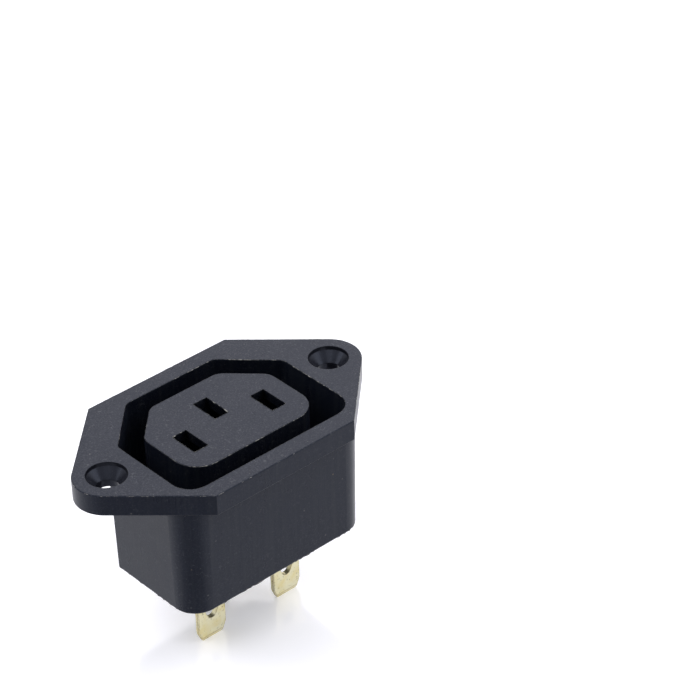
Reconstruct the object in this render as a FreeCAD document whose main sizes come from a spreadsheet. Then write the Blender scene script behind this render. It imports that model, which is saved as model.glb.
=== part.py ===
import FreeCAD, Part
import math
import os
import Sketcher

# Panel mounting appliance outlet: one moulded housing and three sprung contacts.
# Frame: origin midway between the two screw holes, in the flange face that lies on the panel.
# +Z points out of the socket face, +X along the flange, +Y to the earth contact.

doc = FreeCAD.newDocument("panel_outlet")
sheet = doc.addObject("Spreadsheet::Sheet", "Sizes")

# Driving sizes in millimetres, angles in degrees
SIZES = {
    # the mating blades and where they stand
    "blade_width": 4.0,
    "blade_thickness": 2.0,
    "blade_spacing": 14.0,
    "earth_rise": 4.0,
    "live_row_drop": 1.9,
    # flange and its screws
    "flange_thickness": 3.2,
    "flange_ledge": 1.9,
    "flange_side_length": 24.7,
    "flange_end_rim": 1.87,
    "flange_edge_round": 0.15,
    "screw_spacing": 40.0,
    "cutter_rise": 1.0,
    "screw_hole_diameter": 3.4,
    "countersink_diameter": 5.86,
    "countersink_lip": 0.6,
    "countersink_cone": 1.5,
    # moulded body behind the panel
    "body_depth": 17.6,
    "body_end_wall": 1.4,
    "body_side_wall": 0.9,
    "body_chamfer": 7.3,
    "body_corner_radius": 4.0,
    "body_chamfer_radius": 0.5,
    "body_draft": 1.0,
    "body_rim_round": 0.25,
    # ring shaped cavity that the mating shroud enters
    "cavity_end_gap": 3.55,
    "cavity_side_gap": 3.0,
    "cavity_floor": 2.7,
    "cavity_chamfer": 7.1,
    "cavity_corner_radius": 3.2,
    "cavity_chamfer_radius": 1.6,
    "cavity_edge_round": 0.1,
    # core inside the cavity
    "core_end_wall": 1.9,
    "core_front_wall": 3.75,
    "core_back_wall": 3.55,
    "core_chamfer": 5.3,
    "core_corner_radius": 4.0,
    "core_chamfer_radius": 2.4,
    "core_edge_round": 0.12,
    "core_face_wall": 1.5,
    "slot_play_across": 0.4,
    "slot_play_along": 0.8,
    # terminal block on the rear face
    "block_height": 4.6,
    "block_end_wall": 1.0,
    "block_front_wall": 1.35,
    "block_back_wall": 1.15,
    "block_chamfer": 3.3,
    "block_edge_round": 0.15,
    # hollows in the block
    "chamber_width": 5.0,
    "chamber_back": 2.75,
    "earth_chamber_width": 5.8,
    "earth_chamber_front": 2.1,
    "rib": 1.0,
    "pocket_inner_wall": 1.95,
    "pocket_outer_wall": 1.6,
    "pocket_back_wall": 0.7,
    "pocket_chamfer": 3.0,
    "notch_width": 4.3,
    "coring_end_wall": 3.0,
    "contact_fit": 0.05,
    # contacts, folded from one strip
    "sheet_thickness": 0.4,
    "tab_width": 4.8,
    "tab_length": 7.8,
    "tab_tip_width": 3.6,
    "tab_taper": 1.4,
    "tab_tip_radius": 0.35,
    "tab_edge_bevel": 0.14,
    "coined_length": 0.65,
    "coined_depth": 0.24,
    "tab_hole_radius": 1.2,
    "tab_hole_tip_radius": 0.8,
    "tab_hole_rise": 1.3,
    "tab_hole_length": 3.0,
    "seam_bevel": 0.09,
    "shoulder_width": 6.3,
    "shoulder_seat": 5.0,
    "shoulder_rise": 1.75,
    "shoulder_root_radius": 0.25,
    "shoulder_corner_radius": 0.15,
    "fold_tail": 3.0,
    "web_width": 3.8,
    "leaf_width": 3.9,
    "leaf_root": 5.0,
    "leaf_rise": 1.2,
    "leaf_end_play": 3.5,
    "leaf_gap": 1.6,
    "leaf_reach": 4.2,
    "leaf_lead_in": 4.4,
    "leaf_flare": 0.9,
    "leaf_bend_radius": 1.5,
}

for row, (alias, value) in enumerate(SIZES.items(), 1):
    sheet.set(f"A{row}", alias)
    sheet.set(f"B{row}", str(value))
    sheet.setAlias(f"B{row}", alias)
doc.recompute()


def size(formula):
    """The present value of a formula in the sheet's aliases."""
    return float(sheet.evalExpression(formula))


def bound(formula):
    """The formula as another object writes it, each alias taken from the sheet."""
    words = []
    for word in formula.replace("(", " ( ").replace(")", " ) ").split():
        words.append(f"Sizes.{word}" if word in SIZES else word)
    return " ".join(words)


# Places that several features share, as formulas in the sheet's aliases
slot_width = "blade_thickness + slot_play_across"
slot_length = "blade_width + slot_play_along"
contact_reach = "blade_width / 2 + sheet_thickness"
live_row = "( 0 - live_row_drop )"
earth_row = "( earth_rise - live_row_drop )"
live_x = "blade_spacing / 2"
line_place = (live_x, live_row)
neutral_place = (f"0 - {live_x}", live_row)
earth_place = ("0", earth_row)
block_face = "( 0 - body_depth - block_height )"
shoulder_bed = f"{contact_reach} + contact_fit"

core_end = f"{live_x} + chamber_width / 2 + core_end_wall"
core_front = f"{live_row} - ( {shoulder_bed} ) - core_front_wall"
core_back = f"{earth_row} + {shoulder_bed} + core_back_wall"
cavity_end = f"{core_end} + cavity_end_gap"
cavity_front = f"{core_front} - cavity_side_gap"
cavity_back = f"{core_back} + cavity_side_gap"
body_end = f"{cavity_end} + body_end_wall"
body_front = f"{cavity_front} - body_side_wall"
body_back = f"{cavity_back} + body_side_wall"
block_end = f"{live_x} + shoulder_width / 2 + contact_fit + block_end_wall"
block_front = f"{live_row} - ( {shoulder_bed} ) - block_front_wall"
block_back = f"{earth_row} + {shoulder_bed} + block_back_wall"
chamber_top = f"{live_row} + chamber_back"
earth_chamber_start = f"{earth_row} - earth_chamber_front"

# Levels along a contact, from the solder tab's tip to the mouth of the leaves
tab_tip = f"{block_face} - tab_length"
tab_corner = f"{tab_tip} + tab_taper"
shoulder_end = f"{block_face} - shoulder_rise"
seat = f"{block_face} + shoulder_seat"
fold_end = f"{block_face} + fold_tail"
leaf_mouth = "flange_thickness - core_face_wall - leaf_end_play"
leaf_grip = f"{leaf_mouth} - leaf_lead_in"
leaf_bend = f"{leaf_grip} - leaf_reach"
web_end = f"{leaf_bend} - leaf_rise"
leaf_foot = f"{web_end} - leaf_root"

# Depths of a contact's two layers from the blade's middle
outer_face = contact_reach
fold_face = f"{contact_reach} - sheet_thickness"
inner_face = f"{contact_reach} - 2 * sheet_thickness"

# Places closer than this are one place
TOUCH = 0.01


def origin_plane(body, role):
    return next(item for item in body.Origin.OriginFeatures if item.Role == role)


def add_sketch(body, name, role, lift="0", shift="0"):
    """A sketch on one of the body's origin planes, lifted along its normal."""
    sketch = body.newObject("Sketcher::SketchObject", name)
    sketch.AttachmentSupport = [(origin_plane(body, role), "")]
    sketch.MapMode = "FlatFace"
    sketch.setExpression("AttachmentOffset.Base.z", bound(lift))
    sketch.setExpression("AttachmentOffset.Base.x", bound(shift))
    return sketch


def pin_point(sketch, line, end, x, y):
    """Two driving distances from the sketch's origin to one end of a line."""
    for kind, formula in (("DistanceX", x), ("DistanceY", y)):
        number = sketch.addConstraint(Sketcher.Constraint(kind, -1, 1, line, end, size(formula)))
        sketch.setExpression(f"Constraints[{number}]", bound(formula))


def add_outline(sketch, corners):
    """A closed outline of straight lines through corners given as formulas."""
    first = sketch.GeometryCount
    count = len(corners)
    points = [FreeCAD.Vector(size(x), size(y), 0) for x, y in corners]
    for index in range(count):
        sketch.addGeometry(Part.LineSegment(points[index], points[(index + 1) % count]))
    for index in range(count):
        following = first + (index + 1) % count
        sketch.addConstraint(Sketcher.Constraint("Coincident", first + index, 2, following, 1))
    for index, (x, y) in enumerate(corners):
        pin_point(sketch, first + index, 1, x, y)


def add_rounded_outline(sketch, corners, radii):
    """A closed outline that runs anticlockwise, each corner rounded or left sharp (None)."""
    count = len(corners)
    spots = [FreeCAD.Vector(size(x), size(y), 0) for x, y in corners]
    rounds = [size(radius) if radius else 0.0 for radius in radii]
    headings = [(spots[(index + 1) % count] - spots[index]).normalize() for index in range(count)]
    turns = [headings[index - 1].getAngle(headings[index]) for index in range(count)]
    trims = [rounds[index] * math.tan(turns[index] / 2) for index in range(count)]
    first = sketch.GeometryCount
    for index in range(count):
        start = spots[index] + headings[index] * trims[index]
        following = (index + 1) % count
        end = spots[following] - headings[index] * trims[following]
        sketch.addGeometry(Part.LineSegment(start, end))
    for index, (x, y) in enumerate(corners):
        before, after = first + (index - 1) % count, first + index
        if not radii[index]:
            sketch.addConstraint(Sketcher.Constraint("Coincident", before, 2, after, 1))
            pin_point(sketch, after, 1, x, y)
            continue
        along = headings[index - 1]
        side = FreeCAD.Vector(-along.y, along.x, 0)
        begin, entry, leave = math.atan2(-side.y, -side.x), 1, 2
        if side.dot(headings[index]) < 0:
            side, begin, entry, leave = -side, begin + math.pi - turns[index], 2, 1
        centre = spots[index] - along * trims[index] + side * rounds[index]
        circle = Part.Circle(centre, FreeCAD.Vector(0, 0, 1), rounds[index])
        arc = sketch.addGeometry(Part.ArcOfCircle(circle, begin, begin + turns[index]))
        corner = sketch.addGeometry(Part.Point(spots[index]), True)
        sketch.addConstraint(Sketcher.Constraint("Tangent", before, 2, arc, entry))
        sketch.addConstraint(Sketcher.Constraint("Tangent", arc, leave, after, 1))
        sketch.addConstraint(Sketcher.Constraint("PointOnObject", corner, 1, before))
        sketch.addConstraint(Sketcher.Constraint("PointOnObject", corner, 1, after))
        pin_point(sketch, corner, 1, x, y)
        number = sketch.addConstraint(Sketcher.Constraint("Radius", arc, rounds[index]))
        sketch.setExpression(f"Constraints[{number}]", bound(radii[index]))


def rectangle(left, right, front, back):
    return [(left, front), (right, front), (right, back), (left, back)]


def chamfered(end, front, back, chamfer):
    """The connector's outline: square front corners and two chamfered back corners."""
    return [
        (f"0 - ( {end} )", front),
        (end, front),
        (end, f"{back} - {chamfer}"),
        (f"{end} - {chamfer}", back),
        (f"{chamfer} - ( {end} )", back),
        (f"0 - ( {end} )", f"{back} - {chamfer}"),
    ]


def mirrored(outline):
    """The same outline on the other side of the sketch's upright axis."""
    return [(f"0 - ( {x} )", y) for x, y in outline]


def add_pad(body, name, sketch, length, downwards=False, taper=None):
    pad = body.newObject("PartDesign::Pad", name)
    pad.Profile = sketch
    pad.setExpression("Length", bound(length))
    pad.Reversed = downwards
    if taper:
        pad.setExpression("TaperAngle", bound(taper))
    doc.recompute()
    return pad


def add_pocket(body, name, sketch, depth, upwards=False):
    """A pocket that has to take material away."""
    before = body.Shape.Volume
    pocket = body.newObject("PartDesign::Pocket", name)
    pocket.Profile = sketch
    pocket.setExpression("Length", bound(depth))
    pocket.Reversed = upwards
    doc.recompute()
    assert body.Shape.Volume < before, f"{name} cut nothing"
    return pocket


def matching_edges(shape, test):
    return [f"Edge{number}" for number, edge in enumerate(shape.Edges, 1) if test(edge)]


def add_dressing(body, kind, name, test, radius):
    """A fillet or chamfer on the edges of the body that pass a test."""
    base = body.Tip
    edges = matching_edges(base.Shape, test)
    assert edges, f"{name} found no edge"
    dressing = body.newObject(f"PartDesign::{kind}", name)
    dressing.Base = (base, edges)
    dressing.setExpression("Radius" if kind == "Fillet" else "Size", bound(radius))
    doc.recompute()
    assert "Invalid" not in dressing.State, f"{name} failed on {len(edges)} edges"
    return dressing


def lies_at(shape, level):
    """True where an edge or face lies wholly in one level."""
    box = shape.BoundBox
    return abs(box.ZMin - level) < TOUCH and abs(box.ZMax - level) < TOUCH


def on_wire(body, level, rank):
    """A test for the edges of one wire of the flat faces in a level, the longest wire first."""
    flat = [face for face in body.Tip.Shape.Faces if lies_at(face, size(level))]
    wires = sorted((wire for face in flat for wire in face.Wires), key=lambda wire: -wire.Length)
    return lambda edge: any(edge.isSame(side) for side in wires[rank].Edges)


def build_housing():
    body = doc.addObject("PartDesign::Body", "Housing")
    body.Label = "housing"
    make_flange(body)
    make_rear_body(body)
    make_block(body)
    make_cavity(body)
    make_blade_slots(body)
    make_block_hollows(body)
    make_screw_holes(body)
    return body


def make_flange(body):
    """Two long sides joined by tapered sides to a round end about each screw."""
    half_side = "flange_side_length / 2"
    front = f"{body_front} - flange_ledge"
    back = f"{body_back} + flange_ledge"
    radius = "countersink_diameter / 2 + flange_end_rim"
    sketch = add_sketch(body, "FlangeOutline", "XY_Plane")
    left, right, low, high = -size(half_side), size(half_side), size(front), size(back)
    centre, reach = size("screw_spacing / 2"), size(radius)
    vector = FreeCAD.Vector
    turn = math.pi / 4
    tangent_x, tangent_y = centre + reach * math.cos(turn), reach * math.sin(turn)
    upward = vector(0, 0, 1)
    sketch.addGeometry([
        Part.LineSegment(vector(left, low, 0), vector(right, low, 0)),
        Part.LineSegment(vector(right, low, 0), vector(tangent_x, -tangent_y, 0)),
        Part.ArcOfCircle(Part.Circle(vector(centre, 0, 0), upward, reach), -turn, turn),
        Part.LineSegment(vector(tangent_x, tangent_y, 0), vector(right, high, 0)),
        Part.LineSegment(vector(right, high, 0), vector(left, high, 0)),
        Part.LineSegment(vector(left, high, 0), vector(-tangent_x, tangent_y, 0)),
        Part.ArcOfCircle(Part.Circle(vector(-centre, 0, 0), upward, reach), math.pi - turn, math.pi + turn),
        Part.LineSegment(vector(-tangent_x, -tangent_y, 0), vector(left, low, 0)),
    ])
    joins = [(0, 2, 1, 1), (3, 2, 4, 1), (4, 2, 5, 1), (7, 2, 0, 1)]
    for first, first_end, second, second_end in joins:
        sketch.addConstraint(Sketcher.Constraint("Coincident", first, first_end, second, second_end))
    tangents = [(1, 2, 2, 1), (2, 2, 3, 1), (5, 2, 6, 1), (6, 2, 7, 1)]
    for first, first_end, second, second_end in tangents:
        sketch.addConstraint(Sketcher.Constraint("Tangent", first, first_end, second, second_end))
    pin_point(sketch, 0, 1, f"0 - {half_side}", front)
    pin_point(sketch, 0, 2, half_side, front)
    pin_point(sketch, 4, 1, half_side, back)
    pin_point(sketch, 4, 2, f"0 - {half_side}", back)
    for arc, place in ((2, "screw_spacing / 2"), (6, "0 - screw_spacing / 2")):
        sketch.addConstraint(Sketcher.Constraint("PointOnObject", arc, 3, -1))
        number = sketch.addConstraint(Sketcher.Constraint("DistanceX", -1, 1, arc, 3, size(place)))
        sketch.setExpression(f"Constraints[{number}]", bound(place))
        number = sketch.addConstraint(Sketcher.Constraint("Radius", arc, reach))
        sketch.setExpression(f"Constraints[{number}]", bound(radius))
    add_pad(body, "Flange", sketch, "flange_thickness")
    add_dressing(body, "Fillet", "FlangeRim", on_wire(body, "flange_thickness", 0), "flange_edge_round")


def make_rear_body(body):
    """The drafted body behind the panel, with rounded corners and rim."""
    sketch = add_sketch(body, "BodyOutline", "XY_Plane")
    outline = chamfered(body_end, body_front, body_back, "body_chamfer")
    add_rounded_outline(sketch, outline, ["body_corner_radius"] * 2 + ["body_chamfer_radius"] * 4)
    add_pad(body, "RearBody", sketch, "body_depth", downwards=True, taper="0 - body_draft")
    add_dressing(body, "Fillet", "BodyRim", on_wire(body, "0 - body_depth", 0), "body_rim_round")


def make_block(body):
    """The terminal block on the body's rear face."""
    sketch = add_sketch(body, "BlockOutline", "XY_Plane", "0 - body_depth")
    add_outline(sketch, chamfered(block_end, block_front, block_back, "block_chamfer"))
    add_pad(body, "TerminalBlock", sketch, "block_height", downwards=True)
    add_dressing(body, "Fillet", "BlockRim", on_wire(body, block_face, 0), "block_edge_round")


def make_cavity(body):
    """The ring shaped cavity, which leaves the core standing level with the flange."""
    sketch = add_sketch(body, "CavityOutline", "XY_Plane", "flange_thickness")
    outline = chamfered(cavity_end, cavity_front, cavity_back, "cavity_chamfer")
    add_rounded_outline(sketch, outline, ["cavity_corner_radius"] * 2 + ["cavity_chamfer_radius"] * 4)
    outline = chamfered(core_end, core_front, core_back, "core_chamfer")
    add_rounded_outline(sketch, outline, ["core_corner_radius"] * 2 + ["core_chamfer_radius"] * 4)
    add_pocket(body, "Cavity", sketch, "flange_thickness + body_depth - cavity_floor")
    add_dressing(body, "Fillet", "CavityMouth", on_wire(body, "flange_thickness", 1), "cavity_edge_round")
    add_dressing(body, "Fillet", "CoreFace", on_wire(body, "flange_thickness", 2), "core_edge_round")


def make_blade_slots(body):
    sketch = add_sketch(body, "BladeSlots", "XY_Plane", "flange_thickness")
    for x, y in (line_place, neutral_place, earth_place):
        add_outline(sketch, rectangle(
            f"{x} - ( {slot_width} ) / 2", f"{x} + ( {slot_width} ) / 2",
            f"{y} - ( {slot_length} ) / 2", f"{y} + ( {slot_length} ) / 2"))
    add_pocket(body, "BladeOpenings", sketch, "core_face_wall")


def make_block_hollows(body):
    """Contact chambers, shoulder beds and coring, all open at the terminal block."""
    full_depth = "flange_thickness + body_depth + block_height"
    bed = shoulder_bed
    sketch = add_sketch(body, "ContactChambers", "XY_Plane", block_face)
    half = "chamber_width / 2"
    for x in (live_x, f"0 - {live_x}"):
        add_outline(sketch, rectangle(f"{x} - {half}", f"{x} + {half}",
                                      f"{live_row} - ( {bed} )", chamber_top))
    half = "earth_chamber_width / 2"
    add_outline(sketch, rectangle(f"0 - {half}", half, earth_chamber_start, f"{earth_row} + {bed}"))
    add_pocket(body, "Chambers", sketch, f"{full_depth} - core_face_wall", upwards=True)

    sketch = add_sketch(body, "ShoulderBeds", "XY_Plane", block_face)
    half = "( shoulder_width / 2 + contact_fit )"
    deep = "( 2 * sheet_thickness + 2 * contact_fit )"
    for x in (live_x, f"0 - {live_x}"):
        front = f"{live_row} - ( {bed} )"
        add_outline(sketch, rectangle(f"{x} - {half}", f"{x} + {half}", front, f"{front} + {deep}"))
    back = f"{earth_row} + {bed}"
    add_outline(sketch, rectangle(f"0 - {half}", half, f"{back} - {deep}", back))
    add_pocket(body, "ContactBeds", sketch, "shoulder_seat + contact_fit", upwards=True)

    sketch = add_sketch(body, "CoringOutlines", "XY_Plane", block_face)
    inner = "earth_chamber_width / 2 + pocket_inner_wall"
    outer = f"{block_end} - pocket_outer_wall"
    near = f"{chamber_top} + rib"
    far = f"{block_back} - pocket_back_wall"
    corner_pocket = [
        (inner, near),
        (outer, near),
        (outer, f"{far} - pocket_chamfer"),
        (f"{outer} - pocket_chamfer", far),
        (inner, far),
    ]
    add_outline(sketch, corner_pocket)
    add_outline(sketch, mirrored(corner_pocket))
    add_pocket(body, "CornerPockets", sketch, f"{full_depth} - coring_end_wall", upwards=True)

    sketch = add_sketch(body, "NotchOutline", "XY_Plane", block_face)
    add_outline(sketch, rectangle("0 - notch_width / 2", "notch_width / 2",
                                  block_front, f"{earth_chamber_start} - rib"))
    add_pocket(body, "BlockNotch", sketch, f"{full_depth} - coring_end_wall", upwards=True)


def make_screw_holes(body):
    """A screw hole with a cone and a short straight lip, turned at one end and mirrored."""
    sketch = add_sketch(body, "ScrewHoleProfile", "XZ_Plane", shift="screw_spacing / 2")
    lip = "countersink_diameter / 2"
    bore = "screw_hole_diameter / 2"
    cone_top = "flange_thickness - countersink_lip"
    above = "flange_thickness + cutter_rise"
    profile = [
        (lip, above),
        (lip, cone_top),
        (bore, f"{cone_top} - countersink_cone"),
        (bore, "0 - cutter_rise"),
    ]
    points = [FreeCAD.Vector(size(x), size(z), 0) for x, z in profile]
    points = [FreeCAD.Vector(0, points[0].y, 0)] + points + [FreeCAD.Vector(0, points[-1].y, 0)]
    count = len(points)
    for index in range(count):
        sketch.addGeometry(Part.LineSegment(points[index], points[(index + 1) % count]))
    for index in range(count):
        sketch.addConstraint(Sketcher.Constraint("Coincident", index, 2, (index + 1) % count, 1))
    for index, (x, z) in enumerate(profile, 1):
        pin_point(sketch, index, 1, x, z)
    for line in (0, count - 2):
        sketch.addConstraint(Sketcher.Constraint("Horizontal", line))
    for corner in (0, count - 1):
        sketch.addConstraint(Sketcher.Constraint("PointOnObject", corner, 1, -2))
    before = body.Shape.Volume
    groove = body.newObject("PartDesign::Groove", "ScrewHole")
    groove.Profile = sketch
    groove.ReferenceAxis = (sketch, ["V_Axis"])
    groove.Angle = 360
    doc.recompute()
    assert body.Shape.Volume < before, "the screw hole cut nothing"
    mirror = body.newObject("PartDesign::Mirrored", "SecondScrewHole")
    mirror.Originals = [groove]
    mirror.MirrorPlane = (origin_plane(body, "YZ_Plane"), [""])
    body.Tip = mirror
    doc.recompute()


def add_tab_outline(sketch, end, beyond=()):
    """The double tab and its shoulders up to a level, and what one layer has beyond it."""
    right = [
        ("tab_tip_width / 2", tab_tip),
        ("tab_width / 2", tab_corner),
        ("tab_width / 2", shoulder_end),
        ("shoulder_width / 2", shoulder_end),
        ("shoulder_width / 2", end),
    ] + list(beyond)
    radii = ["tab_tip_radius", None, "shoulder_root_radius", "shoulder_corner_radius"]
    radii += [None] * (len(right) - len(radii))
    add_rounded_outline(sketch, right + mirrored(reversed(right)), radii + radii[::-1])


def make_tab_layers(body):
    """The strip's two layers folded flat on each other, the longer one running on as the web."""
    name = body.Name
    sketch = add_sketch(body, f"{name}WebOutline", "XZ_Plane", fold_face)
    add_tab_outline(sketch, seat, [("web_width / 2", seat), ("web_width / 2", web_end)])
    add_pad(body, f"{name}WebLayer", sketch, "sheet_thickness")

    def seam(edge):
        box = edge.BoundBox
        flat = abs(box.YMin + size(fold_face)) < TOUCH and box.YLength < TOUCH
        return flat and box.ZMax < size(shoulder_end) + TOUCH and box.ZLength > size("seam_bevel")

    add_dressing(body, "Chamfer", f"{name}Seam", seam, "seam_bevel")
    sketch = add_sketch(body, f"{name}FoldOutline", "XZ_Plane", inner_face)
    add_tab_outline(sketch, fold_end)
    add_pad(body, f"{name}FoldLayer", sketch, "sheet_thickness")


def make_leaves(body):
    """Two bowed leaves bent up from the web's sides, which grip the blade's broad faces."""
    name = body.Name
    grip = "leaf_gap / 2"
    mouth = f"{grip} + leaf_flare"
    root = "web_width / 2 - sheet_thickness"
    inside = [(root, leaf_foot), (root, leaf_bend), (grip, leaf_grip), (mouth, leaf_mouth)]
    outside = [(f"{x} + sheet_thickness", z) for x, z in reversed(inside)]
    sketch = add_sketch(body, f"{name}LeafProfile", "XZ_Plane", outer_face)
    add_outline(sketch, inside + outside)
    leaf = add_pad(body, f"{name}Leaf", sketch, f"{outer_face} + leaf_width / 2", downwards=True)
    mirror = body.newObject("PartDesign::Mirrored", f"{name}SecondLeaf")
    mirror.Originals = [leaf]
    mirror.MirrorPlane = (origin_plane(body, "YZ_Plane"), [""])
    body.Tip = mirror
    doc.recompute()
    bends = [size(leaf_bend), size(leaf_grip)]

    def crosswise_bend(edge):
        crosswise = edge.BoundBox.YLength > size("leaf_width / 2")
        return crosswise and any(lies_at(edge, level) for level in bends)

    add_dressing(body, "Fillet", f"{name}LeafBends", crosswise_bend, "leaf_bend_radius")


def pierce_tab(body):
    """The egg shaped hole through both layers of the tab, which the wire is hooked through."""
    name = body.Name
    sketch = add_sketch(body, f"{name}HolePlace", "XZ_Plane", outer_face)
    head = f"{block_face} - tab_hole_rise - tab_hole_radius"
    foot = f"{block_face} - tab_hole_rise - tab_hole_length + tab_hole_tip_radius"
    rounds = [("tab_hole_tip_radius", foot), ("tab_hole_radius", head)]
    lean = math.asin((size("tab_hole_radius") - size("tab_hole_tip_radius")) / (size(head) - size(foot)))
    spans = [(math.pi + lean, 2 * math.pi - lean), (-lean, math.pi + lean)]
    upward = FreeCAD.Vector(0, 0, 1)
    arcs = []
    for (radius, level), (begin, end) in zip(rounds, spans):
        circle = Part.Circle(FreeCAD.Vector(0, size(level), 0), upward, size(radius))
        arcs.append(Part.ArcOfCircle(circle, begin, end))
    sketch.addGeometry([
        arcs[0],
        Part.LineSegment(arcs[0].EndPoint, arcs[1].StartPoint),
        arcs[1],
        Part.LineSegment(arcs[1].EndPoint, arcs[0].StartPoint),
    ])
    for line in range(4):
        sketch.addConstraint(Sketcher.Constraint("Tangent", line, 2, (line + 1) % 4, 1))
    for arc, (radius, level) in zip((0, 2), rounds):
        sketch.addConstraint(Sketcher.Constraint("PointOnObject", arc, 3, -2))
        number = sketch.addConstraint(Sketcher.Constraint("DistanceY", -1, 1, arc, 3, size(level)))
        sketch.setExpression(f"Constraints[{number}]", bound(level))
        number = sketch.addConstraint(Sketcher.Constraint("Radius", arc, size(radius)))
        sketch.setExpression(f"Constraints[{number}]", bound(radius))
    add_pocket(body, f"{name}Hole", sketch, "2 * sheet_thickness")


def coin_tip(body):
    """The edges round the tip broken, and both faces coined down to lead it through an eyelet."""
    name = body.Name
    faces = [-size(outer_face), -size(inner_face)]

    def tip_edge(edge):
        box = edge.BoundBox
        on_face = box.YLength < TOUCH and any(abs(box.YMin - face) < TOUCH for face in faces)
        return on_face and box.ZMax < size(tab_corner) + TOUCH

    add_dressing(body, "Chamfer", f"{name}TipEdges", tip_edge, "tab_edge_bevel")
    sketch = add_sketch(body, f"{name}CoinedFaces", "YZ_Plane", "tab_width / 2")
    top = f"{tab_tip} + coined_length"
    outer, inner = f"0 - ( {outer_face} )", f"0 - ( {inner_face} )"
    add_outline(sketch, [(outer, tab_tip), (f"{outer} + coined_depth", tab_tip), (outer, top)])
    add_outline(sketch, [(inner, tab_tip), (inner, top), (f"{inner} - coined_depth", tab_tip)])
    add_pocket(body, f"{name}Coining", sketch, "tab_width")


def build_contact(label, place, turned):
    """One folded strip: double solder tab, shoulders, web and two spring leaves."""
    body = doc.addObject("PartDesign::Body", "".join(word.capitalize() for word in label.split("_")))
    body.Label = label
    make_tab_layers(body)
    make_leaves(body)
    pierce_tab(body)
    coin_tip(body)
    x, y = place
    turn = FreeCAD.Rotation(FreeCAD.Vector(0, 0, 1), 180 if turned else 0)
    body.Placement = FreeCAD.Placement(FreeCAD.Vector(size(x), size(y), 0), turn)
    body.setExpression("Placement.Base.x", bound(x))
    body.setExpression("Placement.Base.y", bound(y))
    doc.recompute()
    return body


pieces = [
    build_housing(),
    build_contact("line_contact", line_place, False),
    build_contact("neutral_contact", neutral_place, False),
    build_contact("earth_contact", earth_place, True),
]
doc.recompute()

for item in doc.Objects:
    assert "Invalid" not in item.State and "Error" not in item.State, f"{item.Name}: {item.State}"
for piece in pieces:
    assert not piece.Shape.isNull() and piece.Shape.isValid(), f"{piece.Label} is not a valid shape"
    assert len(piece.Shape.Solids) == 1, f"{piece.Label} has {len(piece.Shape.Solids)} solids"

os.makedirs("parts", exist_ok=True)
for piece in pieces:
    piece.Shape.exportStep(f"parts/{piece.Label}.step")
    print(piece.Label, round(piece.Shape.Volume, 2), "mm3")
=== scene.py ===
import math

import bpy
import numpy as np
from mathutils import Matrix, Vector


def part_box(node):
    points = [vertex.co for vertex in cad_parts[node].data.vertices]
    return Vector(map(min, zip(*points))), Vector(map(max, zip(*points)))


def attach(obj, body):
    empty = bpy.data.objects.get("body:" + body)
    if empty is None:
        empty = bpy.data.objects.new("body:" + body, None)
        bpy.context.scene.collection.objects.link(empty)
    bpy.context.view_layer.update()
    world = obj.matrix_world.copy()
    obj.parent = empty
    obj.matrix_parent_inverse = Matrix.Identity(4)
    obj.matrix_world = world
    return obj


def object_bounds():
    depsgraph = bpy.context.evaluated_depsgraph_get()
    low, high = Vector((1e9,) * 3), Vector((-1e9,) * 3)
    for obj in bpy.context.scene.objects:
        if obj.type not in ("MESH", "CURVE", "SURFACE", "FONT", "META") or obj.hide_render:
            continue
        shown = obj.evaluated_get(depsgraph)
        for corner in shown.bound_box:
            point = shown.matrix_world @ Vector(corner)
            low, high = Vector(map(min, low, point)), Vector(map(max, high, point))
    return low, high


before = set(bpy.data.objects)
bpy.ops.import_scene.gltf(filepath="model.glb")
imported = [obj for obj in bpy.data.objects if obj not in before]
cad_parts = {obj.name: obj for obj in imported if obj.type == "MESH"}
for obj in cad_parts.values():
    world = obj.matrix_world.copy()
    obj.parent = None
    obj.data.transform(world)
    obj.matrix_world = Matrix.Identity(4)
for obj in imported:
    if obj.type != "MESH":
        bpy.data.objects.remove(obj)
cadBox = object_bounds()
print("frame loaded:", ", ".join(sorted(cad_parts)))

# helpers for nodes and pieces
nodeSpacing = (220, 190)  # from column to column and from row to row


def addNode(tree, kind, inputs=None, **settings):
    node = tree.nodes.new(kind)
    for name, value in settings.items():
        setattr(node, name, value)
    for label, value in (inputs or {}).items():
        if isinstance(value, bpy.types.NodeSocket):
            tree.links.new(value, node.inputs[label])
        else:
            node.inputs[label].default_value = value
    return node


def mathNode(tree, operation, *values, clamp=False):
    node = addNode(tree, "ShaderNodeMath", dict(enumerate(values)), operation=operation, use_clamp=clamp)
    return node.outputs[0]


def rampNode(tree, value, ends):
    # 0 up to the first end, 1 from the second on, straight between
    start, full = ends
    gain = 1 / (full - start)
    return mathNode(tree, "MULTIPLY_ADD", value, gain, -start * gain, clamp=True)


def mixColours(tree, factor, first, second):
    # a mix node's colour sockets go by number, because other kinds share their names
    node = addNode(tree, "ShaderNodeMix", {0: factor, 6: first, 7: second}, data_type="RGBA")
    return node.outputs[2]


def noiseNode(tree, place, scale, detail, roughness, distortion=0.0):
    inputs = {"Vector": place, "Scale": scale, "Detail": detail, "Roughness": roughness,
              "Distortion": distortion}
    return addNode(tree, "ShaderNodeTexNoise", inputs).outputs["Fac"]


def placeGroup(tree, group, inputs):
    return addNode(tree, "ShaderNodeGroup", inputs, node_tree=group).outputs


def spanNode(tree, value, given, wanted):
    # the given span of values laid over the wanted one, cut at its ends
    spans = {"From Min": given[0], "From Max": given[1], "To Min": wanted[0], "To Max": wanted[1]}
    return addNode(tree, "ShaderNodeMapRange", {"Value": value, **spans}).outputs[0]


def bumpNode(tree, height, strength, distance, **inputs):
    inputs.update({"Height": height, "Strength": strength, "Distance": distance})
    return addNode(tree, "ShaderNodeBump", inputs).outputs[0]


def objectPlace(tree):
    return addNode(tree, "ShaderNodeTexCoord").outputs["Object"]


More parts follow.
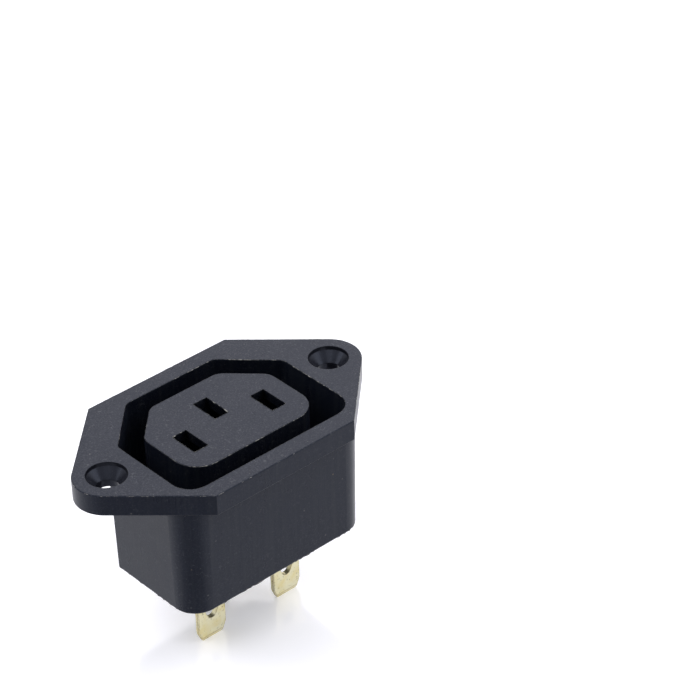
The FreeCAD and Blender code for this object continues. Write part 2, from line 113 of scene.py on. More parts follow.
def splitVector(tree, vector):
    return addNode(tree, "ShaderNodeSeparateXYZ", {0: vector}).outputs


def faceNormal(tree):
    return addNode(tree, "ShaderNodeNewGeometry").outputs["Normal"]


def backgroundRays(tree):
    # 1 for the rays that show the white background: straight, mirrored or through glass
    rays = addNode(tree, "ShaderNodeLightPath").outputs
    seen = mathNode(tree, "ADD", rays["Is Camera Ray"], rays["Is Glossy Ray"])
    return mathNode(tree, "ADD", seen, rays["Is Transmission Ray"], clamp=True)


def arrangeNodes(tree):
    # columns by the longest way to the output, rows in the order of making
    column = {node.name: 0 for node in tree.nodes}
    for sweep in tree.nodes:
        for link in tree.links:
            further = column[link.to_node.name] + 1
            column[link.from_node.name] = max(column[link.from_node.name], further)
    rows = [0] * (max(column.values()) + 1)
    for node in tree.nodes:
        at = column[node.name]
        node.location = (-nodeSpacing[0] * at, -nodeSpacing[1] * rows[at])
        rows[at] += 1


def startGroup(name, inputs, outputs):
    # a number makes a float socket, three numbers make a vector socket
    group = bpy.data.node_groups.new(name, "ShaderNodeTree")
    for label, value in inputs.items():
        kind = "NodeSocketFloat" if isinstance(value, float) else "NodeSocketVector"
        socket = group.interface.new_socket(name=label, in_out="INPUT", socket_type=kind)
        socket.default_value = value
    for label, kind in outputs.items():
        group.interface.new_socket(name=label, in_out="OUTPUT", socket_type="NodeSocket" + kind)
    return group, addNode(group, "NodeGroupInput").outputs


def finishGroup(group, outputs):
    addNode(group, "NodeGroupOutput", outputs)
    arrangeNodes(group)
    return group


def startMaterial(name):
    material = bpy.data.materials.new(name)
    material.use_nodes = True
    material.node_tree.nodes.clear()
    return material, material.node_tree


def finishMaterial(material, shader):
    addNode(material.node_tree, "ShaderNodeOutputMaterial", {"Surface": shader.outputs[0]})
    arrangeNodes(material.node_tree)
    return material


def makePiece(name, spots, faces, material):
    mesh = bpy.data.meshes.new(name)
    mesh.from_pydata(spots.tolist(), [], faces.tolist())
    mesh.materials.append(material)
    obj = bpy.data.objects.new(name, mesh)
    bpy.context.scene.collection.objects.link(obj)
    return obj


# effects that are built once and placed in the finishes, each time with values of their own
effects = {
    "leastSpeck": 0.35,  # of the given radius
    "speckSpread": 0.8,
    "speckEdge": 1.4,
    "edgeSamples": 6,
    "lineNoise": (3.0, 0.6),  # detail and roughness
    "swirlNoise": (1.0, 0.5, 1.4),  # detail, roughness and distortion
    "breakNoise": (2.0, 0.6),
    "breakFineness": 2.3,
    "breakRange": (0.5333, 0.6444),
}


def buildSpecks():
    # small round specks: one near the middle of some cells of a random grid
    inputs = {"Vector": (0, 0, 0), "Per Metre": 600.0, "Radius": 0.06, "Share": 0.3}
    group, given = startGroup("scatteredSpecks", inputs, {"Mask": "Float", "Tone": "Float"})
    grid = {"Vector": given["Vector"], "Scale": given["Per Metre"]}
    cells = addNode(group, "ShaderNodeTexVoronoi", grid, feature="F1")
    chance = addNode(group, "ShaderNodeSeparateColor", {"Color": cells.outputs["Color"]}).outputs
    chosen = mathNode(group, "LESS_THAN", chance[0], given["Share"])
    ownRadius = mathNode(group, "MULTIPLY_ADD", chance[1], effects["speckSpread"], effects["leastSpeck"])
    ownRadius = mathNode(group, "MULTIPLY", ownRadius, given["Radius"])
    near = mathNode(group, "DIVIDE", cells.outputs["Distance"], ownRadius)
    near = mathNode(group, "SUBTRACT", effects["speckEdge"], near, clamp=True)
    return finishGroup(group, {"Mask": mathNode(group, "MULTIPLY", near, chosen), "Tone": chance[2]})


def buildEdgeMask():
    # worn edges: where a rounded copy of the normal leaves the true one
    inputs = {"Radius": 0.0001, "Gain": 4.0}
    group, given = startGroup("wornEdges", inputs, {"Mask": "Float", "Normal": "Vector"})
    rounded = addNode(group, "ShaderNodeBevel", {"Radius": given["Radius"]}, samples=effects["edgeSamples"])
    normals = {0: rounded.outputs[0], 1: faceNormal(group)}
    dot = addNode(group, "ShaderNodeVectorMath", normals, operation="DOT_PRODUCT")
    bent = mathNode(group, "SUBTRACT", 1.0, dot.outputs["Value"])
    mask = mathNode(group, "MULTIPLY", bent, given["Gain"], clamp=True)
    return finishGroup(group, {"Mask": mask, "Normal": rounded.outputs[0]})


def buildDrawnLines():
    # faint parallel lines along Z, as a mould or a rolling mill leaves them
    inputs = {"Vector": (0, 0, 0), "Per Metre": 2500.0, "Stretch": 0.04}
    group, given = startGroup("drawnLines", inputs, {"Value": "Float"})
    stretch = addNode(group, "ShaderNodeCombineXYZ", {0: 1.0, 1: 1.0, 2: given["Stretch"]})
    drawn = {0: given["Vector"], 1: stretch.outputs[0]}
    scaled = addNode(group, "ShaderNodeVectorMath", drawn, operation="MULTIPLY")
    lines = noiseNode(group, scaled.outputs[0], given["Per Metre"], *effects["lineNoise"])
    return finishGroup(group, {"Value": lines})


def buildHairlines():
    # fine curved scratches: level lines of one noise, broken up by another
    inputs = {"Vector": (0, 0, 0), "Per Metre": 900.0, "Thinness": 50.0}
    group, given = startGroup("hairlines", inputs, {"Mask": "Float"})
    swirl = noiseNode(group, given["Vector"], given["Per Metre"], *effects["swirlNoise"])
    finer = mathNode(group, "MULTIPLY", given["Per Metre"], effects["breakFineness"])
    breaks = noiseNode(group, given["Vector"], finer, *effects["breakNoise"])
    away = mathNode(group, "ABSOLUTE", mathNode(group, "SUBTRACT", swirl, 0.5))
    away = mathNode(group, "MULTIPLY", away, given["Thinness"])
    line = mathNode(group, "SUBTRACT", 1.0, away, clamp=True)
    kept = rampNode(group, breaks, effects["breakRange"])
    return finishGroup(group, {"Mask": mathNode(group, "MULTIPLY", line, kept)})


scatteredSpecks = buildSpecks()
wornEdges = buildEdgeMask()
drawnLines = buildDrawnLines()
hairlines = buildHairlines()
print("shared effects built")

# black moulded plastic of the housing; a noise is given by its scale per metre, detail and roughness
plastic = {
    "colour": (0.0022, 0.0032, 0.0070, 1.0),
    "patchColour": (0.0060, 0.0078, 0.0140, 1.0),
    "grainColour": (0.0340, 0.0355, 0.0430, 1.0),
    "streakColour": (0.0110, 0.0125, 0.0165, 1.0),
    "scratchColour": (0.0800, 0.0820, 0.0880, 1.0),
    # painted sheen: a lighter colour for the polished cones
    "paintedConeSheen": (0.013, 0.014, 0.020, 1.0),
    "edgeColour": (0.052, 0.053, 0.056, 1.0),
    "dustColour": (0.17, 0.165, 0.155, 1.0),
    "chipColour": (0.30, 0.21, 0.10, 1.0),
    # painted shade: the black that the colour turns to deep in the hollows
    "paintedHollowShade": (0.0, 0.0, 0.0, 1.0),
    "sheenTint": (0.70, 0.775, 1.0, 1.0),
    "refraction": 1.49,
    "specularLevel": 0.195,
    "roughness": (0.24, 0.38),
    "roughSpan": (0.45, 1.15),
    "patchNoise": (160.0, 4.0, 0.55),
    "speckleNoise": (4300.0, 2.0, 0.7),
    "scuffNoise": (1400.0, 2.0, 0.5),
    "grainNoise": (6500.0, 3.0, 0.65),
    "speckleRange": (0.5, 0.7222),
    "streakRange": (0.4706, 0.7647),
    "scuffRange": (0.3182, 0.7727),
    "openRange": (0.4167, 0.75),
    "lines": {"Per Metre": 1500.0, "Stretch": 0.03},
    "scratches": {"Per Metre": 620.0, "Thinness": 26.0},
    "nicks": {"Per Metre": 1350.0, "Thinness": 15.0},
    "edges": {"Radius": 0.00012, "Gain": 5.0},
    "dust": {"Per Metre": 520.0, "Radius": 0.065, "Share": 0.34},
    "fineDust": {"Per Metre": 2000.0, "Radius": 0.20, "Share": 0.20},
    "wallWear": 0.35,  # of the wear on the flat faces
    "wallDust": 0.30,
    "flatDust": 0.65,
    "hazeShare": 0.40,
    "scratchShade": 0.55,
    "chipsAbove": 0.93,
    "hollowGloss": 0.25,
    "lineGloss": 0.6,
    "lineHeight": 0.5,
    "dustHeight": 0.8,
    "scratchHeight": 1.5,
    "nickDepth": 3.0,
    "grainHeight": 0.000012,
    "grainStrength": 0.35,
    "recessReach": 0.0035,
    "recessSamples": 6,
    "screwPlace": 0.020,
    "coneRadius": 0.00297,
    "coneGloss": 0.85,
    "coneGrain": 0.12,
    "flatAbove": 0.95,
}


def countersinkMask(tree, place, level):
    # polished cones: what lies within the cones' radius of either screw and isn't flat
    axes = splitVector(tree, place)
    across = mathNode(tree, "ABSOLUTE", axes[0])
    across = mathNode(tree, "SUBTRACT", across, plastic["screwPlace"])
    across = mathNode(tree, "MULTIPLY", across, across)
    reach = mathNode(tree, "MULTIPLY_ADD", axes[1], axes[1], across)
    near = mathNode(tree, "LESS_THAN", reach, plastic["coneRadius"] ** 2)
    return mathNode(tree, "MULTIPLY", near, mathNode(tree, "LESS_THAN", level, plastic["flatAbove"]))


def plasticMasks(tree, place):
    # where each effect shows: level is 1 on flat faces and 0 on walls, exposed is 0 deep in the hollows,
    # where the colour gets painted shade and the gloss rises
    level = mathNode(tree, "ABSOLUTE", splitVector(tree, faceNormal(tree))[2])
    cones = countersinkMask(tree, place, level)
    wear = mathNode(tree, "MULTIPLY_ADD", level, 1 - plastic["wallWear"], plastic["wallWear"])
    wear = mathNode(tree, "MULTIPLY", wear, mathNode(tree, "SUBTRACT", 1.0, cones, clamp=True))
    scratch = placeGroup(tree, hairlines, {"Vector": place, **plastic["scratches"]})["Mask"]
    nick = placeGroup(tree, hairlines, {"Vector": place, **plastic["nicks"]})["Mask"]
    reach = {"Distance": plastic["recessReach"]}
    hollow = addNode(tree, "ShaderNodeAmbientOcclusion", reach, samples=plastic["recessSamples"])
    return {
        "level": level,
        "cones": cones,
        "wear": wear,
        "lines": placeGroup(tree, drawnLines, {"Vector": place, **plastic["lines"]})["Value"],
        "scratch": mathNode(tree, "MULTIPLY", scratch, wear),
        "nick": mathNode(tree, "MULTIPLY", nick, wear),
        "dust": placeGroup(tree, scatteredSpecks, {"Vector": place, **plastic["dust"]}),
        "fineDust": placeGroup(tree, scatteredSpecks, {"Vector": place, **plastic["fineDust"]})["Mask"],
        "edges": placeGroup(tree, wornEdges, plastic["edges"]),
        "patches": noiseNode(tree, place, *plastic["patchNoise"]),
        "exposed": rampNode(tree, hollow.outputs["AO"], plastic["openRange"]),
    }


def plasticColour(tree, place, masks):
    colour = mixColours(tree, masks["patches"], plastic["colour"], plastic["patchColour"])
    speckle = rampNode(tree, noiseNode(tree, place, *plastic["speckleNoise"]), plastic["speckleRange"])
    speckle = mathNode(tree, "MULTIPLY", speckle, masks["wear"])
    colour = mixColours(tree, speckle, colour, plastic["grainColour"])
    upright = mathNode(tree, "SUBTRACT", 1.0, masks["level"], clamp=True)
    streak = mathNode(tree, "MULTIPLY", rampNode(tree, masks["lines"], plastic["streakRange"]), upright)
    colour = mixColours(tree, streak, colour, plastic["streakColour"])
    shade = mathNode(tree, "MULTIPLY", masks["scratch"], plastic["scratchShade"])
    colour = mixColours(tree, shade, colour, plastic["scratchColour"])
    colour = mixColours(tree, masks["nick"], colour, plastic["colour"])
    # painted sheen: the countersink cones get a lighter colour
    colour = mixColours(tree, masks["cones"], colour, plastic["paintedConeSheen"])
    scuff = rampNode(tree, noiseNode(tree, place, *plastic["scuffNoise"]), plastic["scuffRange"])
    scuff = mathNode(tree, "MULTIPLY", scuff, masks["edges"]["Mask"])
    colour = mixColours(tree, scuff, colour, plastic["edgeColour"])

    # dust lies more on the flat faces, and a few of its specks are brownish chips
    moreDust = plastic["flatDust"] - plastic["wallDust"]
    settled = mathNode(tree, "MULTIPLY_ADD", masks["level"], moreDust, plastic["wallDust"])
    chip = mathNode(tree, "GREATER_THAN", masks["dust"]["Tone"], plastic["chipsAbove"])
    dustTone = mixColours(tree, chip, plastic["dustColour"], plastic["chipColour"])
    dust = mathNode(tree, "MULTIPLY", masks["dust"]["Mask"], settled)
    colour = mixColours(tree, dust, colour, dustTone)
    haze = mathNode(tree, "MULTIPLY", settled, plastic["hazeShare"])
    haze = mathNode(tree, "MULTIPLY", masks["fineDust"], haze)
    colour = mixColours(tree, haze, colour, plastic["dustColour"])
    # painted shade: the colour goes to black deep in the hollows, by ambient occlusion
    return mixColours(tree, masks["exposed"], plastic["paintedHollowShade"], colour)


def plasticRoughness(tree, masks):
    # rougher along the drawn lines, smoother deep in the hollows and on the cones
    rough = mathNode(tree, "MULTIPLY", masks["lines"], plastic["lineGloss"])
    rough = mathNode(tree, "ADD", masks["patches"], rough)
    rough = spanNode(tree, rough, plastic["roughSpan"], plastic["roughness"])
    gloss = plastic["hollowGloss"]
    smooth = mathNode(tree, "MULTIPLY_ADD", masks["exposed"], 1 - gloss, gloss)
    polished = mathNode(tree, "MULTIPLY_ADD", masks["cones"], plastic["coneGloss"] - 1, 1.0)
    return mathNode(tree, "MULTIPLY", mathNode(tree, "MULTIPLY", rough, smooth), polished)


def plasticRelief(tree, place, masks):
    # grain, lines, dust and scratches added up, and nearly flat on the cones
    height = noiseNode(tree, place, *plastic["grainNoise"])
    height = mathNode(tree, "MULTIPLY_ADD", masks["lines"], plastic["lineHeight"], height)
    height = mathNode(tree, "MULTIPLY_ADD", masks["dust"]["Mask"], plastic["dustHeight"], height)
    height = mathNode(tree, "MULTIPLY_ADD", masks["scratch"], plastic["scratchHeight"], height)
    height = mathNode(tree, "MULTIPLY_ADD", masks["nick"], -plastic["nickDepth"], height)
    turned = mathNode(tree, "MULTIPLY_ADD", masks["cones"], plastic["coneGrain"] - 1, 1.0)
    height = mathNode(tree, "MULTIPLY", height, turned)
    strength, depth = plastic["grainStrength"], plastic["grainHeight"]
    return bumpNode(tree, height, strength, depth, Normal=masks["edges"]["Normal"])


def buildPlastic():
    material, tree = startMaterial("blackMouldedPlastic")
    place = objectPlace(tree)
    masks = plasticMasks(tree, place)
    return finishMaterial(material, addNode(tree, "ShaderNodeBsdfPrincipled", {
        "Base Color": plasticColour(tree, place, masks),
        "Roughness": plasticRoughness(tree, masks),
        "Normal": plasticRelief(tree, place, masks),
        "IOR": plastic["refraction"],
        "Specular IOR Level": plastic["specularLevel"],
        "Specular Tint": plastic["sheenTint"],
    }))


# tin plated brass of the contacts
plating = {
    "colour": (0.65, 0.58, 0.32, 1.0),
    "paleColour": (0.69, 0.66, 0.48, 1.0),
    "rawBrass": (0.22, 0.15, 0.055, 1.0),
    "stain": (0.075, 0.052, 0.024, 1.0),
    "bendTone": (0.31, 0.20, 0.10, 1.0),
    "roughness": (0.36, 0.56),
    "dullSpan": (0.3, 1.0),
    "cloudNoise": (640.0, 4.0, 0.6),
    "tarnishNoise": (2700.0, 4.0, 0.62),
    "cloudRange": (0.3611, 0.6389),
    "cutRange": (0.7955, 0.3409),  # from the broad faces to the cut ones
    "spotRange": (0.3667, 0.7),
    "blotchRange": (0.6111, 0.7222),
    "smearRange": (0.45, 0.6167),
    "cutShade": 0.12,
    "edgeShade": 0.80,
    "blotchShade": 0.75,
    "smearShade": 0.75,
    "bendShade": 0.7,
    "stainDullness": 0.8,
    "cloudHeight": 1.4,
    "scratchHeight": 0.000008,
    "scratchStrength": 0.4,
    "edges": {"Radius": 0.00008, "Gain": 5.0},
    "rim": {"Radius": 0.00045, "Gain": 1.6},
    "spots": {"Per Metre": 1100.0, "Radius": 0.24, "Share": 0.42},
    "lines": {"Per Metre": 4200.0, "Stretch": 0.06},
    "coinedLength": 0.00065,
    "lineWidth": 0.00009,
}


def coinedBend(tree, place, ragged):
    # a ragged line across the tab, where its tip was coined: 1 on the line, 0 a line's width away
    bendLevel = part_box("line_contact")[0][2] + plating["coinedLength"]
    width = plating["lineWidth"]
    away = mathNode(tree, "MULTIPLY_ADD", ragged, width, -bendLevel - width / 2)
    away = mathNode(tree, "ABSOLUTE", mathNode(tree, "ADD", splitVector(tree, place)[2], away))
    return mathNode(tree, "SUBTRACT", 1.0, mathNode(tree, "DIVIDE", away, width), clamp=True)


def tarnishMask(tree, place, ragged):
    # round spots, ragged blotches, and smears towards the rims
    spots = placeGroup(tree, scatteredSpecks, {"Vector": place, **plating["spots"]})["Mask"]
    spots = mathNode(tree, "MULTIPLY", rampNode(tree, ragged, plating["spotRange"]), spots)
    blotch = rampNode(tree, ragged, plating["blotchRange"])
    blotch = mathNode(tree, "MULTIPLY", blotch, plating["blotchShade"])
    rim = placeGroup(tree, wornEdges, plating["rim"])["Mask"]
    smear = mathNode(tree, "MULTIPLY", rampNode(tree, ragged, plating["smearRange"]), rim)
    smear = mathNode(tree, "MULTIPLY", smear, plating["smearShade"])
    return mathNode(tree, "MAXIMUM", mathNode(tree, "MAXIMUM", spots, blotch), smear)


def buildPlating():
    material, tree = startMaterial("tinPlatedBrass")
    place = objectPlace(tree)
    facing = mathNode(tree, "ABSOLUTE", splitVector(tree, faceNormal(tree))[1])

    cloud = noiseNode(tree, place, *plating["cloudNoise"])
    pale = rampNode(tree, cloud, plating["cloudRange"])
    colour = mixColours(tree, pale, plating["colour"], plating["paleColour"])
    cut = mathNode(tree, "MULTIPLY", rampNode(tree, facing, plating["cutRange"]), plating["cutShade"])
    colour = mixColours(tree, cut, colour, plating["rawBrass"])
    edges = placeGroup(tree, wornEdges, plating["edges"])
    rubbed = mathNode(tree, "MULTIPLY", edges["Mask"], plating["edgeShade"])
    colour = mixColours(tree, rubbed, colour, plating["rawBrass"])

    ragged = noiseNode(tree, place, *plating["tarnishNoise"])
    stain = tarnishMask(tree, place, ragged)
    colour = mixColours(tree, stain, colour, plating["stain"])
    bend = mathNode(tree, "MULTIPLY", facing, plating["bendShade"])
    bend = mathNode(tree, "MULTIPLY", coinedBend(tree, place, ragged), bend)
    colour = mixColours(tree, bend, colour, plating["bendTone"])

    dull = mathNode(tree, "ADD", cloud, mathNode(tree, "MULTIPLY", stain, plating["stainDullness"]))
    rough = spanNode(tree, dull, plating["dullSpan"], plating["roughness"])
    lines = placeGroup(tree, drawnLines, {"Vector": place, **plating["lines"]})["Value"]
    height = mathNode(tree, "MULTIPLY_ADD", cloud, plating["cloudHeight"], lines)
    strength, depth = plating["scratchStrength"], plating["scratchHeight"]
    bump = bumpNode(tree, height, strength, depth, Normal=edges["Normal"])
    return finishMaterial(material, addNode(tree, "ShaderNodeBsdfPrincipled", {
        "Base Color": colour, "Metallic": 1.0, "Roughness": rough, "Normal": bump}))


blackPlastic = buildPlastic()
tinPlating = buildPlating()
for nodeName, finish in (("housing", blackPlastic), ("line_contact", tinPlating),
                         ("neutral_contact", tinPlating), ("earth_contact", tinPlating)):
    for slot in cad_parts[nodeName].material_slots:
        slot.material = finish
print("finishes placed on the moulded and folded pieces")

# ragged flash that the mould leaves along rims and openings
flash = {
    "rearFace": -0.0176,
    "step": 0.00014,
    "spanSteps": 2,
    "sink": 0.00003,
    "touch": 0.000002,
    "fineShare": 0.65,
    "coarseness": 8,
    "leastKnots": 6,
    "leastCoarse": 3,
    "seed": 7,
    "lightColour": (0.330, 0.320, 0.300, 1.0),
    "darkColour": (0.020, 0.021, 0.024, 1.0),
    "noise": (2600.0, 3.0, 0.6),
    "paleRange": (0.44, 0.64),
    "roughness": 0.55,
    "tornStrength": 0.5,
    "tornHeight": 0.00002,
}
# of each rim: the face, which of the outlines at its level, longest first, the edge's round, the
# ridge's height, half width and lean in degrees, the share left bare and the grain
rims = {
    "flangeRim": {"face": "top", "outlines": (0,), "edgeRound": 0.00015, "height": 0.00006,
                  "halfWidth": 0.00005, "lean": 40.0, "bare": 0.42, "grain": 0.0004},
    "cavityMouth": {"face": "top", "outlines": (1,), "edgeRound": 0.00010, "height": 0.00012,
                    "halfWidth": 0.00005, "lean": 5.0, "bare": 0.52, "grain": 0.0005},
    "coreRim": {"face": "top", "outlines": (2,), "edgeRound": 0.00012, "height": 0.00008,
                "halfWidth": 0.00005, "lean": 15.0, "bare": 0.55, "grain": 0.0004},
    "slotMouths": {"face": "top", "outlines": (5, 6, 7), "edgeRound": 0.0, "height": 0.00020,
                   "halfWidth": 0.00005, "lean": -14.0, "bare": 0.66, "grain": 0.0005},
    "bodyRim": {"face": "rear", "outlines": (0,), "edgeRound": 0.00025, "height": 0.00015,
                "halfWidth": 0.00008, "lean": 30.0, "bare": 0.40, "grain": 0.0004},
    "blockRims": {"face": "block", "outlines": (0, 1, 2, 3, 4, 5), "edgeRound": 0.0, "height": 0.00016,
                  "halfWidth": 0.00005, "lean": 60.0, "bare": 0.55, "grain": 0.0005},
}


def flatOutlines(level):
    # closed outlines of the housing's flat faces in one level, longest first: the triangle sides there
    # that no second triangle shares, chained in the triangles' own sense of turning
    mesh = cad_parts["housing"].data
    spots = np.empty(3 * len(mesh.vertices))
    mesh.vertices.foreach_get("co", spots)
    corners = np.empty(len(mesh.loops), dtype=np.int32)
    mesh.loops.foreach_get("vertex_index", corners)
    near = np.round(spots.reshape(-1, 3) / flash["touch"]).astype(np.int64)
    places, shared = np.unique(near, axis=0, return_inverse=True)
    triangles = shared.reshape(-1)[corners].reshape(-1, 3)
    heights = places[triangles][:, :, 2] * flash["touch"]
    flat = np.all(np.abs(heights - level) < 2 * flash["touch"], axis=1)
    sides = {(a, b) for tri in triangles[flat].tolist() for a, b in zip(tri, tri[1:] + tri[:1])}
    following = {a: b for a, b in sides if (b, a) not in sides}
    outlines = []
    while following:
        start, spot = following.popitem()
        ring = [start]
        while spot != start:
            ring.append(spot)
            spot = following.pop(spot)
        outlines.append(places[ring] * flash["touch"])
    reach = [np.linalg.norm(ring - np.roll(ring, 1, axis=0), axis=1).sum() for ring in outlines]
    return [outlines[index] for index in np.argsort(reach)[::-1]]


def raggedHeights(count, rim, source):
    # knots of random height a grain apart and coarser ones, eased between, lowered so that a share stays bare
    knots = max(flash["leastKnots"], int(count * flash["step"] / rim["grain"]))
    coarse = max(flash["leastCoarse"], knots // flash["coarseness"])
    total = np.zeros(count)
    for number, weight in ((knots, flash["fineShare"]), (coarse, 1 - flash["fineShare"])):
        values = source.random(number)
        at = np.arange(count) * number / count
        total += weight * np.interp(at, np.arange(number + 1), np.append(values, values[0]))
    return np.clip((total - rim["bare"]) / (1 - rim["bare"]), 0, 1)


def flashRidge(ring, normal, rim, source):
    # a thin ridge along a closed outline: its section is a triangle that leans out of the rounded edge
    lengths = np.linalg.norm(np.roll(ring, -1, axis=0) - ring, axis=1)
    travelled = np.append(0, np.cumsum(lengths))
    count = int(travelled[-1] / flash["step"])
    at = np.linspace(0, travelled[-1], count, endpoint=False)
    closed = np.vstack([ring, ring[:1]])
    path = np.stack([np.interp(at, travelled, closed[:, axis]) for axis in range(3)], axis=1)
    along = np.roll(path, -flash["spanSteps"], axis=0) - np.roll(path, flash["spanSteps"], axis=0)
    along /= np.linalg.norm(along, axis=1)[:, None]
    out = np.cross(along, normal)
    diagonal = math.sqrt(0.5)
    middle = path + (out * diagonal - normal * (1 - diagonal)) * rim["edgeRound"]
    rise = math.sin(math.radians(rim["lean"]))
    run = math.cos(math.radians(rim["lean"]))
    ahead = out * run + normal * rise
    aside = (normal * run - out * rise) * rim["halfWidth"]
    tall = rim["height"] * raggedHeights(count, rim, source)
    root = middle - flash["sink"] * ahead
    return np.stack([root + aside, root + ahead * tall[:, None], root - aside], axis=1)


def buildFlashPlastic():
    material, tree = startMaterial("flashPlastic")
    torn = noiseNode(tree, objectPlace(tree), *flash["noise"])
    pale = rampNode(tree, torn, flash["paleRange"])
    colour = mixColours(tree, pale, flash["darkColour"], flash["lightColour"])
    bump = bumpNode(tree, torn, flash["tornStrength"], flash["tornHeight"])
    return finishMaterial(material, addNode(tree, "ShaderNodeBsdfPrincipled", {
        "Base Color": colour, "Roughness": flash["roughness"], "Normal": bump}))


def buildFlash():
    low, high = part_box("housing")
    levels = {"top": (high[2], 1.0), "rear": (flash["rearFace"], -1.0), "block": (low[2], -1.0)}
    source = np.random.default_rng(flash["seed"])
    material = buildFlashPlastic()
    for name, rim in rims.items():
        level, sign = levels[rim["face"]]
        outlines = flatOutlines(level)
        spots, faces, first = [], [], 0
        for rank in rim["outlines"]:
            ridge = flashRidge(outlines[rank], np.array([0, 0, sign]), rim, source)
            count = len(ridge)
            here = np.arange(count)
            after = (here + 1) % count
            for a, b in ((0, 1), (1, 2), (2, 0)):
                corners = [3 * here + a, 3 * here + b, 3 * after + b, 3 * after + a]
                faces.append(first + np.stack(corners, axis=1))
            spots.append(ridge.reshape(-1, 3))
            first += 3 * count
        obj = makePiece(name, np.vstack(spots), np.vstack(faces), material)
        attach(obj, "root")
        print(name, "outlines", len(outlines), "faces", len(obj.data.polygons))


buildFlash()
print("flash laid along the rims")

# pale floor that the tabs stand on
floor = {
    "size": 6.0,
    "colour": (0.91, 0.905, 0.95, 1.0),
    "mottle": 0.985,
    "mottleNoise": (30.0, 2.0, 0.5),
    "lift": 0.285,
    "liftColour": (1.0, 1.0, 1.0, 1.0),
    "roughness": 0.12,
    "specularLevel": 0.7,
}


def buildFloorSheet():
    material, tree = startMaterial("paleFloorSheet")
    mottle = noiseNode(tree, objectPlace(tree), *floor["mottleNoise"])
    dim = tuple(floor["mottle"] * part for part in floor["colour"][:3]) + (1.0,)
    colour = mixColours(tree, mottle, dim, floor["colour"])
    sheet = addNode(tree, "ShaderNodeBsdfPrincipled", {
        "Base Color": colour, "Roughness": floor["roughness"], "Specular IOR Level": floor["specularLevel"]})
    glow = addNode(tree, "ShaderNodeEmission", {"Color": floor["liftColour"], "Strength": floor["lift"]})
    both = addNode(tree, "ShaderNodeAddShader", {0: sheet.outputs[0], 1: glow.outputs[0]})
    return finishMaterial(material, addNode(tree, "ShaderNodeMixShader", {
        0: backgroundRays(tree), 1: sheet.outputs[0], 2: both.outputs[0]}))


def buildFloor():
    # a flat square at the level of the tabs' tips
    half = floor["size"] / 2
    level = cadBox[0][2]
    spots = np.array([(-half, -half, level), (half, -half, level),
                      (half, half, level), (-half, half, level)])
    obj = makePiece("paleFloor", spots, np.array([(0, 1, 2, 3)]), buildFloorSheet())


buildFloor()

# soft studio light: of each lamp the place, the size, the brightness of its face and the colour
softbox = (0.55, 0.36)
strip = (0.34, 0.10)
lamps = {
    "rightSoftbox": ((0.567, 0.0, 0.443), softbox, 1.3, (1.0, 1.0, 1.0)),
    "rearRightSoftbox": ((0.401, 0.401, 0.443), softbox, 1.85, (0.95, 0.93, 1.0)),
    "rearLeftSoftbox": ((-0.401, 0.401, 0.443), softbox, 2.65, (0.96, 0.97, 1.0)),
    "frontRightSoftbox": ((0.401, -0.401, 0.443), softbox, 2.75, (0.96, 0.97, 1.0)),
    "upperLeftSoftbox": ((-0.352, 0.0, 0.662), softbox, 3.6, (0.98, 0.98, 1.0)),
    "upperFrontSoftbox": ((0.176, -0.305, 0.662), softbox, 2.2, (0.98, 0.98, 1.0)),
    "frontStrip": ((-0.32, -0.36, 0.56), strip, 2.6, (1.0, 1.0, 1.0)),
}


def buildLamp(name, place, size, brightness, colour):
    # an area lamp turned to the origin: its power is brightness times pi times area
    data = bpy.data.lights.new(name, "AREA")
    data.shape = "RECTANGLE"
    data.size, data.size_y = size
    data.color = colour
    data.energy = brightness * math.pi * data.size * data.size_y
    obj = bpy.data.objects.new(name, data)
    turn = Vector(place).to_track_quat("Z", "Y").to_matrix().to_4x4()
    obj.matrix_world = Matrix.Translation(place) @ turn
    bpy.context.scene.collection.objects.link(obj)


for lampName, lampValues in lamps.items():
    buildLamp(lampName, *lampValues)

# plain surround: it lights the part dimly, and is white where it is seen or mirrored
surround = {
    "colour": (0.90, 0.93, 1.0, 1.0),
    "strength": 0.12,
    "seenColour": (1.0, 1.0, 1.0, 1.0),
    "seenStrength": 1.0,
}


def buildSurround():
    world = bpy.data.worlds.new("plainStudio")
    world.use_nodes = True
    tree = world.node_tree
    tree.nodes.clear()
    dim = addNode(tree, "ShaderNodeBackground", {
        "Color": surround["colour"], "Strength": surround["strength"]})
    white = addNode(tree, "ShaderNodeBackground", {
        "Color": surround["seenColour"], "Strength": surround["seenStrength"]})
    choice = addNode(tree, "ShaderNodeMixShader", {
        0: backgroundRays(tree), 1: dim.outputs[0], 2: white.outputs[0]})
    addNode(tree, "ShaderNodeOutputWorld", {"Surface": choice.outputs[0]})
    arrangeNodes(tree)
    bpy.context.scene.world = world


buildSurround()

# grey card on the floor in front: only its reflection is seen, and it draws the housing's near corner
shadeCard = {
    "heading": 222.5,
    "spread": 26.0,
    "near": 0.030,
    "far": 0.55,
    "above": 0.0002,
    "columns": 25,
    "colour": (0.80, 0.80, 0.83, 1.0),
}


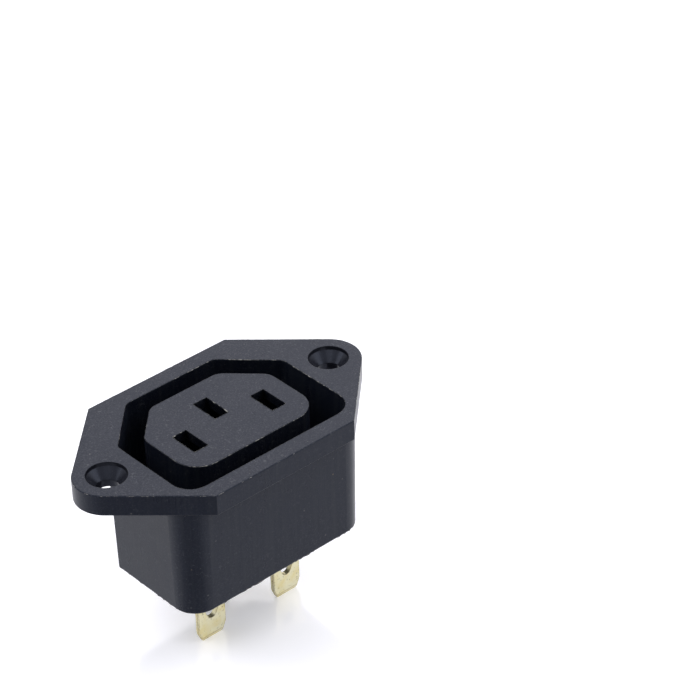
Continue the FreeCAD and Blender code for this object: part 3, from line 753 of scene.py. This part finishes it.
def buildShadeCard():
    # a flat ring sector: angle runs over the spread, radius from near to far
    columns = shadeCard["columns"]
    angles = np.radians(shadeCard["heading"] + shadeCard["spread"] * np.linspace(-1, 1, columns))
    radii = np.array([shadeCard["near"], shadeCard["far"]])
    turn, reach = np.meshgrid(angles, radii)
    level = np.full(turn.shape, cadBox[0][2] + shadeCard["above"])
    spots = np.stack([reach * np.cos(turn), reach * np.sin(turn), level], axis=-1).reshape(-1, 3)
    first = np.arange(columns - 1)
    faces = np.stack([first, first + columns, first + columns + 1, first + 1], axis=1)
    material, tree = startMaterial("greyCard")
    finishMaterial(material, addNode(tree, "ShaderNodeBsdfDiffuse", {"Color": shadeCard["colour"]}))
    obj = makePiece("shadeCard", spots, faces, material)
    for kind in ("camera", "diffuse", "transmission", "volume_scatter", "shadow"):
        setattr(obj, "visible_" + kind, False)


buildShadeCard()
print("floor, lamps and surround ready")

# camera: angles in degrees, lengths in metres, and how far the origin lies off the picture's middle
camera = {
    "azimuth": -41.328,
    "elevation": 34.307,
    "roll": -1.542,
    "distance": 0.38392,
    "offsetRight": -0.017824,
    "offsetDown": 0.011556,
    "focalPixels": 2764.36,
    "pictureWidth": 700,
    "sensorWidth": 36.0,
    "clipStart": 0.01,
    "clipEnd": 20.0,
}


def buildCamera():
    turn, rise, roll = (math.radians(camera[key]) for key in ("azimuth", "elevation", "roll"))
    level = Vector((math.cos(turn), math.sin(turn), 0))
    back = Vector((math.sin(turn) * math.cos(rise), -math.cos(turn) * math.cos(rise), math.sin(rise)))
    above = back.cross(level)
    right = math.cos(roll) * level + math.sin(roll) * above
    up = math.cos(roll) * above - math.sin(roll) * level
    place = camera["distance"] * back - camera["offsetRight"] * right + camera["offsetDown"] * up
    data = bpy.data.cameras.new("photoCamera")
    data.sensor_width = camera["sensorWidth"]
    data.lens = data.sensor_width * camera["focalPixels"] / camera["pictureWidth"]
    data.clip_start = camera["clipStart"]
    data.clip_end = camera["clipEnd"]
    obj = bpy.data.objects.new("photoCamera", data)
    axes = Matrix((right, up, back)).transposed().to_4x4()
    obj.matrix_world = Matrix.Translation(place) @ axes
    bpy.context.scene.collection.objects.link(obj)
    bpy.context.scene.camera = obj


buildCamera()
bpy.context.scene.view_settings.view_transform = "Standard"
print("camera ready")
